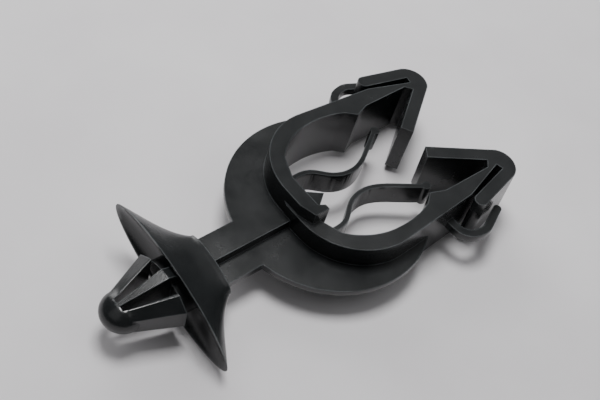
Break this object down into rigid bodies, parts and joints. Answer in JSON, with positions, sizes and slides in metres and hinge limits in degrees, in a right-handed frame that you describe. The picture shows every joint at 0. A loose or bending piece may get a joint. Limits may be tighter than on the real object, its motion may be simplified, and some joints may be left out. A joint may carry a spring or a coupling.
{
  "type": "cable holder clip",
  "caption": "One-piece moulded clip with twin jaws for cables, leaf springs, flange plates, an oval spring dish and a barbed anchor that snaps into a panel hole.",
  "frame": {"origin": "middle of the spring dish's rim plane, on the clip's long axis, where the dish meets the panel", "axes": "+X from the anchor along the stem to the jaw tips, +Y across the two jaws, +Z the direction of moulding, up as the clip lies flat"},
  "size_m": [0.0461, 0.024, 0.0074],
  "materials": {
    "clip_nylon": "satin moulded nylon, dark grey to black"
  },
  "bodies": {
    "root": {"cable_clip": "clip_nylon"}
  },
  "joints": []
}
